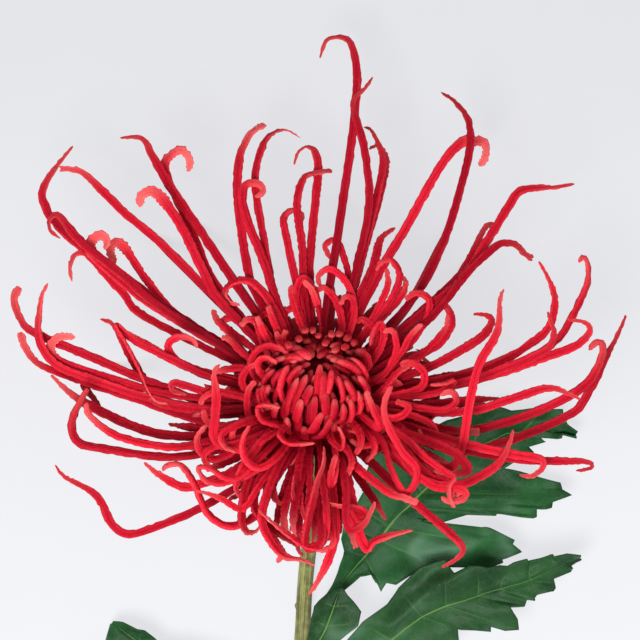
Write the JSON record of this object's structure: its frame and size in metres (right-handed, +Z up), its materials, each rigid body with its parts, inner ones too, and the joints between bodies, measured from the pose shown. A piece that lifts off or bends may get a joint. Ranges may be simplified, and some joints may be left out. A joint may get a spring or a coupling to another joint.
{
  "type": "cut spider chrysanthemum",
  "caption": "Spider chrysanthemum cut with its stem and leaves, laid down: long quilled florets with hooked tips round a dome of short incurved ones.",
  "frame": {"origin": "centre of the bounding box in X and Y, on the surface the flower lies on", "axes": "+Z up from the surface, +Y along the stem towards the bloom, +X to the viewer's right when the bloom is seen from above"},
  "size_m": [0.1654, 0.2972, 0.0971],
  "materials": {
    "floret": "satin petal",
    "calyx": "matt green bracts",
    "stem": "ridged green stem",
    "leaf": "satin dark green leaf"
  },
  "bodies": {
    "root": {"bloom": "floret", "calyx": "calyx", "stem": "stem", "leaf_upper_right": "leaf", "leaf_lower_right": "leaf", "leaf_small": "leaf", "leaf_lower_left": "leaf"}
  },
  "joints": []
}
